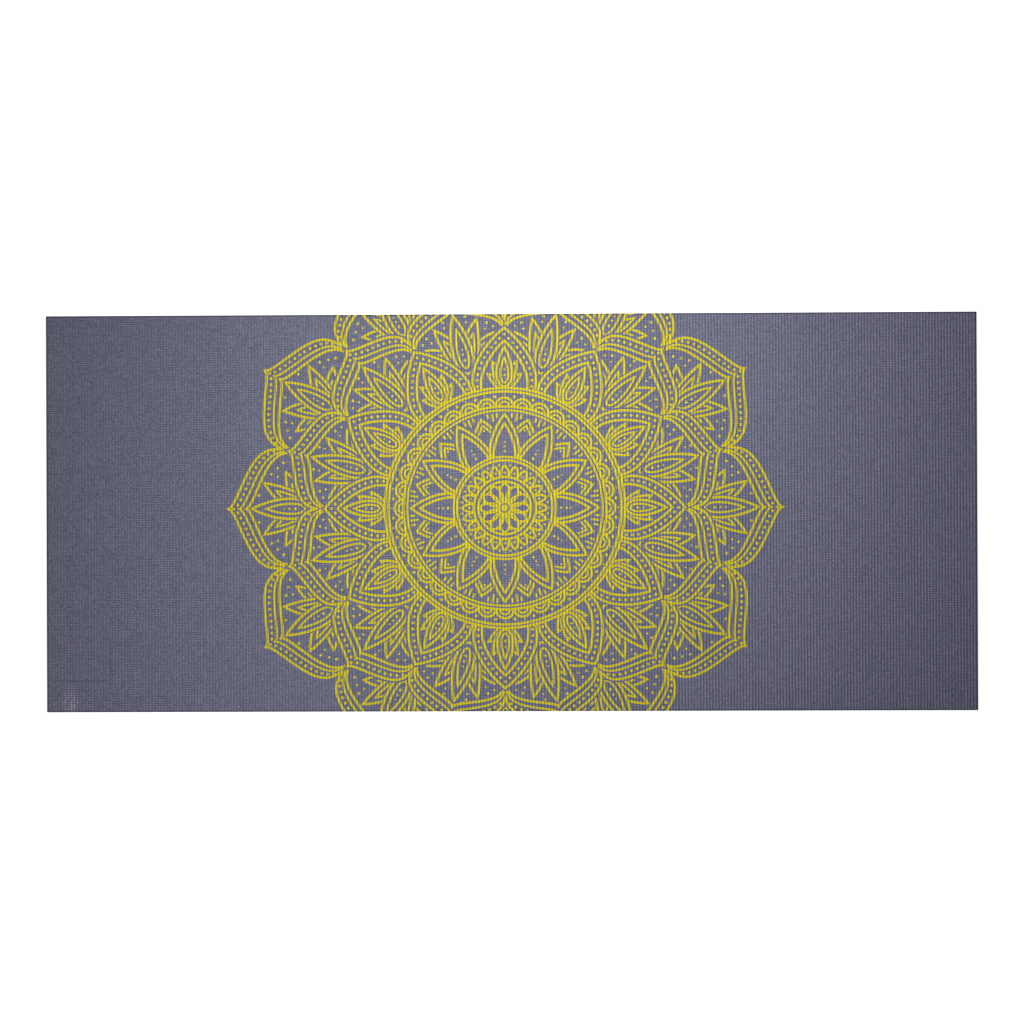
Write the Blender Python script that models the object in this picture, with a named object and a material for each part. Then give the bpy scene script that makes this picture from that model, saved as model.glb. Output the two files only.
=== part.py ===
"""Yoga mat: two coats of foamed PVC on a polyester scrim, with a one-colour mandala printed on top.

Metres, +Z up. X runs along the mat and Y across it. The origin is the middle of the underside.
"""

import math

import bmesh
import bpy
from mathutils import Vector
from mathutils.geometry import delaunay_2d_cdt

# The mat as it lies unrolled, measured over everything
mat_length = 1.830
mat_width = 0.781
mat_thickness = 0.006

# The layers, from the floor up. The upper coat takes the thickness that the others leave.
lower_coat_thickness = 0.0022
scrim_thickness = 0.0005
ink_thickness = 0.0002
seat_gap = 0.0003

# Ribs across the top. The foam rises over each yarn that lies across the mat.
rib_pitch = 0.006
rib_crest_width = 0.0034
rib_groove_depth = 0.0006

# The scrim. Its yarns lie one rib apart along the mat and one cell apart across it.
cell_pitch = 0.0045
yarn_width = 0.0016
yarns_per_modelled_yarn = 24

# The print. Its centre sits a little off the mat's centre, and both long edges cut through it.
print_radius = 0.545
print_offset_x = -0.011
print_offset_y = 0.009
line_width = 0.0048
band_clearance = 0.0035
echo_gap = 0.0185
echo_tip_gap = 0.0213

# Petals round each full ring of the print
petal_count = 12
inner_scallop_count = 24
outer_scallop_count = 36

# Radii of the print's bands, as shares of its outer radius
hub_share = 0.022
rosette_tip_share = 0.088
rosette_ring_share = 0.095
inner_scallop_foot_share = 0.112
inner_scallop_top_share = 0.152
lotus_foot_share = 0.130
lotus_ring_share = 0.172
lotus_tip_share = 0.338
outer_scallop_foot_share = 0.366
outer_scallop_top_share = 0.398
bloom_foot_share = 0.360
bloom_ring_share = 0.420
bloom_tip_share = 0.650
crown_valley_share = 0.680
crown_tip_share = 0.806
rim_valley_share = 0.832
rim_tip_share = 1.000

# Half widths of the petals, as shares of the print's outer radius
rosette_half_width_share = 0.0175
lotus_half_width_share = 0.053
bloom_half_width_share = 0.114

# Inner outlines, as shares of the outline that they run inside
inner_width_share = 0.74
inner_tip_share = 0.84

# How a petal narrows, as powers of the distance from its foot and from its tip
ROUND_FOOT = 0.50
ROUND_TIP = 0.55
DRAWN_TIP = 0.92

# How an arch closes: a higher shoulder keeps it wide for longer, a higher point draws its tip out
ARCH_SHOULDER = 3.2
ARCH_POINT = 1.90

# Points along half of a petal's outline, half of an arch and a whole scallop
SMALL_PETAL_STEPS = 4
MIDDLE_PETAL_STEPS = 5
LARGE_PETAL_STEPS = 7
ARCH_STEPS = 6
SCALLOP_STEPS = 4

HEX_COLOURS = {
    "foam": "#686A7C",
    "scrim": "#E4E1D6",
    "ink": "#D5C828",
}

# How a stroke's mitre is held back at a sharp turn, and what counts as one point or a straight line
SHARPEST_MITRE_SHARE = 0.5
CLOSEST_POINTS = 1e-7
FLAT_ANGLE = math.radians(1.5)


def clear_scene():
    for item in list(bpy.data.objects):
        bpy.data.objects.remove(item, do_unlink=True)


def linear(channel):
    """One sRGB channel, 0 to 1, as linear light."""
    if channel <= 0.04045:
        return channel / 12.92
    return ((channel + 0.055) / 1.055) ** 2.4


def make_material(name, hex_colour, roughness):
    digits = hex_colour.lstrip("#")
    colour = [linear(int(digits[i : i + 2], 16) / 255) for i in (0, 2, 4)]
    material = bpy.data.materials.new(name)
    material.use_nodes = True
    shader = material.node_tree.nodes["Principled BSDF"]
    shader.inputs["Base Color"].default_value = (*colour, 1.0)
    shader.inputs["Roughness"].default_value = roughness
    shader.inputs["Metallic"].default_value = 0.0
    material.diffuse_color = (*colour, 1.0)
    return material


def add_object(name, mesh, material):
    item = bpy.data.objects.new(name, mesh)
    item.data.materials.append(material)
    bpy.context.scene.collection.objects.link(item)
    return item


# Foam coats


def extruded_profile(name, outline, width, material):
    """A solid with this outline in X and Z, drawn out across the mat along Y."""
    shape = bmesh.new()
    corners = [shape.verts.new((x, -width / 2, z)) for x, z in outline]
    face = shape.faces.new(corners)
    drawn = bmesh.ops.extrude_face_region(shape, geom=[face])
    moved = [part for part in drawn["geom"] if isinstance(part, bmesh.types.BMVert)]
    bmesh.ops.translate(shape, verts=moved, vec=(0, width, 0))
    bmesh.ops.recalc_face_normals(shape, faces=shape.faces)
    mesh = bpy.data.meshes.new(name)
    shape.to_mesh(mesh)
    shape.free()
    return add_object(name, mesh, material)


def ribbed_top(length, pitch, crest_width, top, groove_depth):
    """Points along the top from +X to -X: flat crests with a V groove between each two."""
    count = round(length / pitch)
    step = length / count
    crest = crest_width * step / pitch
    points = [(length / 2, top)]
    for k in range(count):
        groove = length / 2 - (k + 0.5) * step
        lip = (step - crest) / 2
        points.append((groove + lip, top))
        points.append((groove, top - groove_depth))
        points.append((groove - lip, top))
    points.append((-length / 2, top))
    return points


def make_lower_coat(material):
    end = mat_length / 2
    outline = [(-end, 0), (end, 0), (end, lower_coat_thickness), (-end, lower_coat_thickness)]
    return extruded_profile("foam_lower_coat", outline, mat_width, material)


def make_upper_coat(bottom, top, material):
    end = mat_length / 2
    outline = [(-end, bottom), (end, bottom)]
    outline += ribbed_top(mat_length, rib_pitch, rib_crest_width, top, rib_groove_depth)
    return extruded_profile("foam_upper_coat", outline, mat_width, material)


# Flat shapes drawn with strokes


def side_points(points, closed, half_width):
    """The left and right edge of a stroke, mitred where the line turns."""
    count = len(points)
    left = []
    right = []
    for i, point in enumerate(points):
        before = points[(i - 1) % count] if closed or i > 0 else None
        after = points[(i + 1) % count] if closed or i < count - 1 else None
        ways = []
        if before is not None:
            ways.append((point - before).normalized())
        if after is not None:
            ways.append((after - point).normalized())
        way = sum(ways, Vector((0, 0))).normalized()
        normal = Vector((-way.y, way.x))
        cosine = max(way.dot(ways[0]), SHARPEST_MITRE_SHARE)
        left.append(point + normal * half_width / cosine)
        right.append(point - normal * half_width / cosine)
    return left, right


def turned_left(a, b, c):
    return (b.x - a.x) * (c.y - a.y) - (b.y - a.y) * (c.x - a.x)


def stroke(points, closed=True, width=line_width):
    """The triangles that cover a line of this width."""
    left, right = side_points(points, closed, width / 2)
    count = len(points)
    triangles = []
    for i in range(count if closed else count - 1):
        j = (i + 1) % count
        for corners in ((left[i], right[i], right[j]), (left[i], right[j], left[j])):
            area = turned_left(*corners)
            if abs(area) > CLOSEST_POINTS**2:
                triangles.append(corners if area > 0 else corners[::-1])
    return triangles


def behind(outline, gap):
    """What hides a line that is tucked behind this closed outline, with a gap left round it."""
    return [outline] + stroke(outline, width=2 * gap)


def ring(radius, steps):
    turn = 2 * math.pi / steps
    return [Vector((math.cos(k * turn), math.sin(k * turn))) * radius for k in range(steps)]


def turned(points, angle):
    cosine = math.cos(angle)
    sine = math.sin(angle)
    return [Vector((p.x * cosine - p.y * sine, p.x * sine + p.y * cosine)) for p in points]


def petal_width(share, tip_power):
    """The petal's half width at this share of its length, as a share of its greatest one."""
    broadest = ROUND_FOOT / (ROUND_FOOT + tip_power)
    full = broadest**ROUND_FOOT * (1 - broadest) ** tip_power
    return share**ROUND_FOOT * (1 - share) ** tip_power / full


def petal(foot, tip, half_width, tip_power, steps):
    """A closed petal along +X, counter-clockwise from its foot, with more points at its round ends."""
    lower = []
    upper = []
    for k in range(steps + 1):
        share = (1 - math.cos(math.pi * k / steps)) / 2
        if tip_power == DRAWN_TIP:
            share = min(1, 1 - math.cos(math.pi / 2 * k / steps))
        along = foot + (tip - foot) * share
        across = half_width * petal_width(share, tip_power)
        lower.append(Vector((along, -across)))
        upper.append(Vector((along, across)))
    return lower + upper[-2:0:-1]


def arch(valley, tip):
    """The outer end of a petal along +X, from the valley on its one side to that on its other."""
    half_turn = math.pi / petal_count
    low = valley * math.cos(half_turn)
    half_width = valley * math.sin(half_turn)
    side = []
    for k in range(ARCH_STEPS + 1):
        share = k / ARCH_STEPS
        across = half_width * (1 - share**ARCH_SHOULDER) ** ARCH_POINT
        side.append(Vector((low + (tip - low) * share, -across)))
    return side + [Vector((p.x, -p.y)) for p in side[-2::-1]]


def chain(outline, angles, closed):
    """One line through the turned copies of an arch, which meet end to end."""
    points = []
    for angle in angles:
        points += turned(outline, angle)[:-1]
    if not closed:
        points.append(turned(outline, angles[-1])[-1])
    return points


def double_petal(foot, tip, half_width, tip_power, steps):
    """A petal and a smaller one inside it, on the same foot."""
    outer = petal(foot, tip, half_width, tip_power, steps)
    inner_tip = foot + (tip - foot) * inner_tip_share
    inner = petal(foot, inner_tip, half_width * inner_width_share, tip_power, steps)
    return outer, inner


def scallops(foot, top, count):
    """Open arches that stand side by side on a ring."""
    half_width = foot * math.pi / count
    outline = []
    for k in range(SCALLOP_STEPS + 1):
        angle = math.pi * (k / SCALLOP_STEPS - 0.5)
        height = (top - foot) * math.cos(angle)
        outline.append(Vector((foot + height, half_width * math.sin(angle))))
    return [turned(outline, angle) for angle in spread(count)]


def spread(count, start=0.0):
    """Angles spaced evenly round the print, the first of them this share of a step on."""
    return [2 * math.pi * (k + start) / count for k in range(count)]


def drawn(outlines, angles):
    strokes = []
    for outline in outlines:
        for angle in angles:
            strokes += stroke(turned(outline, angle))
    return strokes


def covered(layers):
    """The area under any layer's strokes and clear of that layer's own masks, in triangles."""
    points = []
    faces = []
    owners = []
    for number, (strokes, masks) in enumerate(layers):
        for place, corners in enumerate(strokes + masks):
            faces.append(list(range(len(points), len(points) + len(corners))))
            points.extend(corners)
            owners.append((number, place >= len(strokes)))
    cut = delaunay_2d_cdt(points, [], faces, 1, CLOSEST_POINTS, True)
    kept = []
    for corners, sources in zip(cut[2], cut[5]):
        found = [owners[source] for source in sources]
        hidden = {number for number, masked in found if masked}
        if any(number not in hidden for number, masked in found if not masked):
            kept.append(corners)
    return cut[0], kept


def islands(shape):
    """The faces in groups that hang together along edges, the largest area first."""
    seen = set()
    groups = []
    for first in shape.faces:
        if first in seen:
            continue
        seen.add(first)
        group = [first]
        for face in group:
            for edge in face.edges:
                for other in edge.link_faces:
                    if other not in seen:
                        seen.add(other)
                        group.append(other)
        groups.append(group)
    return sorted(groups, key=lambda group: -sum(face.calc_area() for face in group))


def flat_object(name, layers, middle, bottom, thickness, material):
    """A sheet of even thickness in the shape of the layers, cut off at the mat's long edges.

    The scraps that the cut leaves by themselves are dropped, so the sheet is one piece.
    """
    points, triangles = covered(layers)
    shape = bmesh.new()
    corners = [shape.verts.new((p.x + middle[0], p.y + middle[1], bottom)) for p in points]
    for triangle in triangles:
        shape.faces.new([corners[i] for i in triangle])
    for side in (-1, 1):
        bmesh.ops.bisect_plane(
            shape,
            geom=shape.verts[:] + shape.edges[:] + shape.faces[:],
            dist=CLOSEST_POINTS,
            plane_co=(0, side * mat_width / 2, 0),
            plane_no=(0, side, 0),
            clear_outer=True,
        )
    scraps = [face for group in islands(shape)[1:] for face in group]
    bmesh.ops.delete(shape, geom=scraps, context="FACES")
    loose = [vert for vert in shape.verts if not vert.link_faces]
    bmesh.ops.delete(shape, geom=loose, context="VERTS")
    bmesh.ops.dissolve_limit(
        shape, angle_limit=FLAT_ANGLE, verts=shape.verts[:], edges=shape.edges[:]
    )
    mesh = bpy.data.meshes.new(name)
    shape.to_mesh(mesh)
    shape.free()
    item = add_object(name, mesh, material)
    solid = item.modifiers.new("Thickness", "SOLIDIFY")
    solid.thickness = thickness
    solid.offset = 1.0
    return item


# Scrim


def make_scrim(bottom, material):
    """A flat net of yarns bonded where they cross. Each modelled yarn stands for several real ones."""
    strokes = []
    along_pitch = rib_pitch * yarns_per_modelled_yarn
    across_pitch = cell_pitch * yarns_per_modelled_yarn
    end = mat_length / 2
    side = mat_width / 2
    across_count = int(mat_length / along_pitch)
    for k in range(across_count):
        x = (k - (across_count - 1) / 2) * along_pitch
        strokes += stroke([Vector((x, -side)), Vector((x, side))], False, yarn_width)
    along_count = int(mat_width / across_pitch)
    for k in range(along_count):
        y = (k - (along_count - 1) / 2) * across_pitch
        strokes += stroke([Vector((-end, y)), Vector((end, y))], False, yarn_width)
    net = [(strokes, [])]
    return flat_object("scrim_net", net, (0, 0), bottom, scrim_thickness, material)


# Print


def rosette_layers():
    size = print_radius
    leaf = petal(
        size * hub_share,
        size * rosette_tip_share,
        size * rosette_half_width_share,
        ROUND_TIP,
        SMALL_PETAL_STEPS,
    )
    strokes = stroke(ring(size * hub_share, petal_count))
    strokes += drawn([leaf], spread(petal_count))
    strokes += stroke(ring(size * rosette_ring_share, inner_scallop_count))
    return [(strokes, [])]


def scallop_layers(foot, top, count):
    strokes = stroke(ring(foot, count))
    for arch in scallops(foot, top, count):
        strokes += stroke(arch, closed=False)
    return [(strokes, [])]


def petals_on_ring(outlines, radius, steps):
    """Petals that rise from behind a ring, so that only what lies outside it is drawn."""
    petals = drawn(outlines, spread(petal_count))
    return [(petals, [ring(radius, steps)]), (stroke(ring(radius, steps)), [])]


def lotus_outlines():
    size = print_radius
    return double_petal(
        size * lotus_foot_share,
        size * lotus_tip_share,
        size * lotus_half_width_share,
        DRAWN_TIP,
        MIDDLE_PETAL_STEPS,
    )


def bloom_outlines():
    size = print_radius
    return double_petal(
        size * bloom_foot_share,
        size * bloom_tip_share,
        size * bloom_half_width_share,
        DRAWN_TIP,
        LARGE_PETAL_STEPS,
    )


def echoed_chain(valley, tip, angles, masks):
    """A chain of arches, an echo of it inside and a short line between each two tips."""
    closed = len(angles) == petal_count
    outer = chain(arch(valley, tip), angles, closed)
    echo = chain(arch(valley - echo_gap, tip - echo_tip_gap), angles, closed)
    strokes = stroke(outer, closed) + stroke(echo, closed)
    for place in range(ARCH_STEPS, len(outer), 2 * ARCH_STEPS):
        strokes += stroke([outer[place], echo[place]], closed=False)
    return [(strokes, masks)]


def middle_strip():
    """A narrow mask across the print's middle, which parts the left and right outer bands."""
    half = band_clearance / 2
    reach = 2 * print_radius
    corners = ((-half, -reach), (half, -reach), (half, reach), (-half, reach))
    return [Vector(corner) for corner in corners]


def make_print(bottom, material):
    """One film for each band of the print. Outer bands are tucked behind the inner ones."""
    size = print_radius
    clear = line_width / 2 + band_clearance
    aligned = spread(petal_count)
    between = spread(petal_count, 0.5)
    quarter = petal_count // 4
    crown_right = [between[k] for k in range(-quarter, quarter)]
    rim_right = [aligned[k] for k in range(1 - quarter, quarter)]

    bloom_outline = bloom_outlines()[0]
    bloom_masks = []
    for angle in aligned:
        bloom_masks += behind(turned(bloom_outline, angle), clear)
    bloom_masks.append(ring(size * bloom_ring_share + clear, outer_scallop_count))
    bloom_masks.append(middle_strip())
    crown_outline = chain(arch(size * crown_valley_share, size * crown_tip_share), between, True)
    crown_masks = behind(crown_outline, clear) + [middle_strip()]

    bands = {
        "print_rosette": rosette_layers(),
        "print_inner_scallops": scallop_layers(
            size * inner_scallop_foot_share,
            size * inner_scallop_top_share,
            inner_scallop_count,
        ),
        "print_lotus": petals_on_ring(
            lotus_outlines(), size * lotus_ring_share, inner_scallop_count
        ),
        "print_outer_scallops": scallop_layers(
            size * outer_scallop_foot_share,
            size * outer_scallop_top_share,
            outer_scallop_count,
        ),
        "print_bloom": petals_on_ring(
            bloom_outlines(), size * bloom_ring_share, outer_scallop_count
        ),
    }
    for side, half_turn in (("right", 0), ("left", math.pi)):
        bands["print_crown_" + side] = echoed_chain(
            size * crown_valley_share,
            size * crown_tip_share,
            [angle + half_turn for angle in crown_right],
            bloom_masks,
        )
        bands["print_rim_" + side] = echoed_chain(
            size * rim_valley_share,
            size * rim_tip_share,
            [angle + half_turn for angle in rim_right],
            crown_masks,
        )
    middle = (print_offset_x, print_offset_y)
    for name, layers in bands.items():
        flat_object(name, layers, middle, bottom, ink_thickness, material)


def main():
    clear_scene()
    foam = make_material("foamed PVC", HEX_COLOURS["foam"], 0.85)
    polyester = make_material("polyester yarn", HEX_COLOURS["scrim"], 0.7)
    ink = make_material("printing ink", HEX_COLOURS["ink"], 0.6)

    scrim_bottom = lower_coat_thickness + seat_gap
    upper_bottom = scrim_bottom + scrim_thickness + seat_gap
    ink_bottom = mat_thickness - ink_thickness
    upper_top = ink_bottom - seat_gap

    make_lower_coat(foam)
    make_scrim(scrim_bottom, polyester)
    make_upper_coat(upper_bottom, upper_top, foam)
    make_print(ink_bottom, ink)


main()
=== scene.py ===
# %% [markdown]
# # A printed yoga mat, unrolled and seen from above
# The mat is one thin sheet of foamed PVC with a net of yarn in its middle, fine ribs on both faces and a
# line drawing printed across the upper one. The file builds it in the order of its layers: the two coats
# of foam, the net between them, then the ink. Each step first says what the piece is, then builds it.
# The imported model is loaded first. It is the measured frame that every new piece is fitted to. All
# lengths are in metres.

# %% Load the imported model
import math

import bmesh
import bpy
from mathutils import Matrix, Vector
from mathutils.bvhtree import BVHTree
from mathutils.geometry import delaunay_2d_cdt


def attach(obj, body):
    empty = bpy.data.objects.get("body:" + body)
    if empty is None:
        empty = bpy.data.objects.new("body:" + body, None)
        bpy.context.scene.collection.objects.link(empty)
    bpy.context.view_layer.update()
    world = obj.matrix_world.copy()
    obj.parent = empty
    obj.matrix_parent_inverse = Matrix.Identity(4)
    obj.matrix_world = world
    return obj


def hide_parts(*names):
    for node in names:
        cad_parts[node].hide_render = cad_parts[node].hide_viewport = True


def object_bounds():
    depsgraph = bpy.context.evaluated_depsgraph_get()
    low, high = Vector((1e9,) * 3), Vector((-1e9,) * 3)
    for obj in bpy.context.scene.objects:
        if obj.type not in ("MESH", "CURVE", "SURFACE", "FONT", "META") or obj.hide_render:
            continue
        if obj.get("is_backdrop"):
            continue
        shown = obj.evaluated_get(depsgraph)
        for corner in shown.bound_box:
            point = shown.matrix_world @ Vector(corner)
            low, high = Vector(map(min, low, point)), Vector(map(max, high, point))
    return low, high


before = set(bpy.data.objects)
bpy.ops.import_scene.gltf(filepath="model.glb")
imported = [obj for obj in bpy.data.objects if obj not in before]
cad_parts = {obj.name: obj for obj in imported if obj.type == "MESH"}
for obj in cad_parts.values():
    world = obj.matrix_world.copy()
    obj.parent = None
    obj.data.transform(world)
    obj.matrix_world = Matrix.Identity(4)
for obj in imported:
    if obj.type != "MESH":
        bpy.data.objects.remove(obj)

cad_box = [list(corner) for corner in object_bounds()]
low, high = Vector(cad_box[0]), Vector(cad_box[1])
mat_length = high.x - low.x
mat_width = high.y - low.y
mat_thickness = high.z - low.z
print(f"the mat is {mat_length:.3f} m long, {mat_width:.3f} m wide and {mat_thickness * 1000:.1f} mm thick")
print("nodes to dress:", sorted(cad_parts))

# %% [markdown]
# ## The camera
# The photograph looks straight down, but the mat's long edges lean towards each other by a hair, so the
# camera was not quite level. Its place and turn were solved from the four corners of the mat. The height
# can't be told from so flat an object, so it is a plain one, and the lens makes the mat fill the same
# share of the picture.

# %% Camera
camera_data = bpy.data.cameras.new("photo_camera")
camera_data.lens = 89.35
camera_data.sensor_width = 36.0
camera = bpy.data.objects.new("photo_camera", camera_data)
camera.location = (0.0938, -0.0175, 5.0)
camera.rotation_euler = (0.003635, 0.018168, -0.003747)
bpy.context.scene.collection.objects.link(camera)
bpy.context.scene.camera = camera
bpy.context.scene.view_settings.view_transform = "Standard"
print("the camera is", round(camera.location.z, 2), "m above the floor")

# %% [markdown]
# ## Helpers for finishes
# Colours are picked as hex codes, which a screen shows with its own curve, and shaders count in linear
# light. One function turns the first into the second. Another adds one node to a material, or to the
# world, with its settings and its links, so that a finish reads as a short list. A third starts an
# empty material.

# %% Colour and node helpers
def linear(code):
    """A hex colour as a shader counts it."""
    parts = [int(code[k:k + 2], 16) / 255 for k in (1, 3, 5)]
    return tuple(p / 12.92 if p <= 0.04045 else ((p + 0.055) / 1.055) ** 2.4 for p in parts) + (1.0,)


def add_node(owner, kind, inputs=None, **settings):
    """One node. Each input is a number, a colour, a result, or a node for the first result it offers."""
    tree = owner.node_tree
    node = tree.nodes.new("ShaderNode" + kind)
    for name, value in settings.items():
        setattr(node, name, value)
    for socket, value in (inputs or {}).items():
        if isinstance(value, bpy.types.Node):
            value = next(result for result in value.outputs if result.enabled)
        if isinstance(value, bpy.types.NodeSocket):
            tree.links.new(value, node.inputs[socket])
        else:
            node.inputs[socket].default_value = value
    return node


def new_material(name):
    """An empty material."""
    material = bpy.data.materials.new(name)
    material.use_nodes = True
    material.node_tree.nodes.clear()
    return material


print("mid grey #777777 is", [round(c, 3) for c in linear("#777777")[:3]], "in linear light")

# %% [markdown]
# ## A helper for pieces
# Every piece is built with bmesh, which can fill, cut and extrude a mesh before any object exists. The
# finished mesh then becomes an object at the origin, and its place is in its vertices, so that it
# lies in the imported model's own frame.

# %% From mesh to object
def new_object(name, shape, *materials):
    """The built mesh as an object in the scene, with these finishes."""
    mesh = bpy.data.meshes.new(name)
    shape.to_mesh(mesh)
    shape.free()
    for material in materials:
        mesh.materials.append(material)
    piece = bpy.data.objects.new(name, mesh)
    bpy.context.scene.collection.objects.link(piece)
    return piece


def describe(name, shape):
    """Says how fine a mesh is, and whether it is a real solid."""
    closed = all(edge.is_manifold for edge in shape.edges)
    millilitres = shape.calc_volume(signed=True) * 1e6
    print(f"{name} has {len(shape.faces)} faces, is closed: {closed}, holds {millilitres:.1f} ml")


# %% [markdown]
# ## Floor and background
# The picture's background is pure white. A floor lit that bright would light the mat as well, so the
# floor is plain white and glows only for the camera and for reflections. It still takes the mat's
# shadow. A floor thirty metres across reaches past every view, and the world behind it is white too.

# %% Floor
def seen_by(owner, *rays):
    """A number that is 1 for these kinds of ray and 0 for the light that is thrown on other things."""
    path = add_node(owner, "LightPath")
    seen = 0.0
    for ray in rays:
        seen = add_node(owner, "Math", {0: path.outputs[f"Is {ray} Ray"], 1: seen}, operation="MAXIMUM")
    return seen


floor_glow = 0.80
floor_material = new_material("white_studio_floor")
seen = seen_by(floor_material, "Camera", "Glossy", "Transmission")
strength = add_node(floor_material, "Math", {0: seen, 1: floor_glow}, operation="MULTIPLY")
paint = add_node(floor_material, "BsdfDiffuse", {"Color": linear("#E8E8E8")})
glow = add_node(floor_material, "Emission", {"Color": (1.0, 1.0, 1.0, 1.0), "Strength": strength})
both = add_node(floor_material, "AddShader", {0: paint, 1: glow})
add_node(floor_material, "OutputMaterial", {"Surface": both})

floor_reach = 15.0
floor_shape = bmesh.new()
bmesh.ops.create_grid(floor_shape, x_segments=1, y_segments=1, size=floor_reach)
floor = new_object("studio_floor", floor_shape, floor_material)
floor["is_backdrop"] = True
print("the floor is", floor.dimensions.x, "m across")

# %% [markdown]
# ## Light
# The mat is brightest above its middle and falls off towards the ends, most at the lower right. A softbox a
# good metre up behind the mat does that by its distance alone. A weaker one at the lower left lifts that
# corner, and an even world adds the light that a pale room throws back. Their strengths were fitted to
# how light the foam and the ink look all over the picture.

# %% Lamps and world
world = bpy.data.worlds.new("pale_room")
bpy.context.scene.world = world
world.use_nodes = True
world.node_tree.nodes.clear()
room_level = 0.176
softbox_width = 0.70
seen = seen_by(world, "Camera", "Transmission")
strength = add_node(world, "MapRange", {"Value": seen, "To Min": room_level, "To Max": 1.0})
sky = add_node(world, "Background", {"Color": (1.0, 1.0, 1.0, 1.0), "Strength": strength})
add_node(world, "OutputWorld", {"Surface": sky})


def softbox(name, place, level):
    """A round soft lamp that lights a white sheet straight below it to this level."""
    data = bpy.data.lights.new(name, "AREA")
    data.shape = "DISK"
    data.size = softbox_width
    data.energy = level * math.pi ** 2 * place[2] ** 2
    lamp = bpy.data.objects.new(name, data)
    lamp.location = place
    lamp.visible_camera = False
    bpy.context.scene.collection.objects.link(lamp)
    print(f"{name} gives {data.energy:.1f} W from {place[2]} m")


softbox("main_softbox", (0.055, 0.45, 1.145), 0.94)
softbox("side_softbox", (-0.37, -0.65, 1.265), 0.35)

# %% [markdown]
# ## How the foam gets its pattern
# The factory spreads PVC paste on a net of polyester yarn and bakes it. The paste clings to the yarns and
# foams up over them, and it sinks a little in the net's holes, so the net shows through as ribs with a
# small pillow wherever two yarns cross. In the picture the ribs repeat every 6.0 mm along the mat and,
# more faintly, the pillows every 4.5 mm across it. The deep grooves between the ribs are modelled, as
# they catch light from every side. The faint ones between pillows are left to the finish. A rib is almost
# level on its crest, bends at a lip and drops into the groove, and the die presses the mat's rim down.

# %% The rib's profile
rib_pitch = 0.006
cell_pitch = 0.0045
column_pitch = rib_pitch / 4
groove_depth = 0.0006
lip_drop = 0.00008
coat_top = 0.00585
seam_height = 0.00275
seam_gap = 0.0001
edge_places = (0.0, 0.0015, 0.003)
edge_drops = (0.0007, 0.00022, 0.0)


def rib_drop(x):
    """How far the surface lies below a rib's crest at this place along the mat."""
    share = abs((x / rib_pitch) % 1 - 0.5) * 2
    if share < 0.5:
        return lip_drop * share * 2
    return lip_drop + (groove_depth - lip_drop) * (share - 0.5) * 2


def edge_drop(x, y):
    """How far the die that cuts the mat has pressed its rim down."""
    inside = max(0.0, min(mat_length / 2 - abs(x), mat_width / 2 - abs(y)))
    for k in (0, 1):
        if inside < edge_places[k + 1]:
            share = (inside - edge_places[k]) / (edge_places[k + 1] - edge_places[k])
            return edge_drops[k] + (edge_drops[k + 1] - edge_drops[k]) * share
    return 0.0


def foam_top(x, y):
    """The height of the printed face."""
    return coat_top - rib_drop(x) - edge_drop(x, y)


heights = [round(foam_top(x, 0.0) * 1000, 2) for x in (rib_pitch / 2, rib_pitch / 4, 0.0)]
print("crest, lip and groove stand at", heights, "mm")

# %% [markdown]
# ## The two foam coats
# A coat is a skin of foam on one side of the net. Its face is a flat grid whose columns fall on the crests,
# lips and grooves, and whose vertices are lifted to the profile. The ribs run straight across the mat, so
# long narrow faces are enough there, with two close rows at each edge for the pressed rim.

# %% Ribbed face
middle_rows = 12


def ribbed_face(height_at):
    """The outer face of a coat, lifted to the height that this function gives."""
    edge_rows = edge_places[:-1]
    reach = mat_width / 2 - edge_places[-1]
    rows = [-mat_width / 2 + place for place in edge_rows]
    rows += [-reach + 2 * reach * k / middle_rows for k in range(middle_rows + 1)]
    rows += [mat_width / 2 - place for place in reversed(edge_rows)]
    columns = round(mat_length / column_pitch)
    shape = bmesh.new()
    bmesh.ops.create_grid(shape, x_segments=columns, y_segments=len(rows) - 1, size=0.5,
                          matrix=Matrix.Diagonal((mat_length, 1.0, 1.0, 1.0)))
    for vertex in shape.verts:
        vertex.co.y = rows[round((vertex.co.y + 0.5) * (len(rows) - 1))]
        vertex.co.z = height_at(vertex.co.x, vertex.co.y)
    for face in shape.faces:
        face.smooth = True
    return shape


print("a ribbed face is", round(mat_length / column_pitch), "columns long")

# %% [markdown]
# ## Cut edge and seam
# The border of the face is pulled straight down to the seam in the mat's middle, which makes the cut edge.
# The inner face is never seen, so one large face closes it. Both get the second finish in the list, which
# is for foam without its skin. The lower coat is the same shape with flatter ribs, as it carries the mat.

# %% Coats
lower_rib_share = 0.8
lower_edge_share = 0.5


def coat(name, height_at, seam):
    """One closed coat, from its outer face to the flat seam inside the mat."""
    shape = ribbed_face(height_at)
    border = [edge for edge in shape.edges if edge.is_boundary]
    made = bmesh.ops.extrude_edge_only(shape, edges=border)["geom"]
    for vertex in [part for part in made if isinstance(part, bmesh.types.BMVert)]:
        vertex.co.z = seam
    cut_faces = [part for part in made if isinstance(part, bmesh.types.BMFace)]
    open_edges = [edge for edge in shape.edges if edge.is_boundary]
    closing = bmesh.ops.edgeloop_fill(shape, edges=open_edges)["faces"]
    for face in cut_faces + closing:
        face.material_index = 1
        face.smooth = False
    bmesh.ops.recalc_face_normals(shape, faces=shape.faces[:])
    sharp = {edge for face in cut_faces for edge in face.edges}
    for edge in sharp:
        edge.smooth = False
    describe(name, shape)
    return new_object(name, shape)


def foam_bottom(x, y):
    """The height of the face that lies on the floor."""
    return rib_drop(x) * lower_rib_share + edge_drop(x, y) * lower_edge_share


upper_coat = coat("foam_upper", foam_top, seam_height + seam_gap / 2)
lower_coat = coat("foam_lower", foam_bottom, seam_height - seam_gap / 2)

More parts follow.
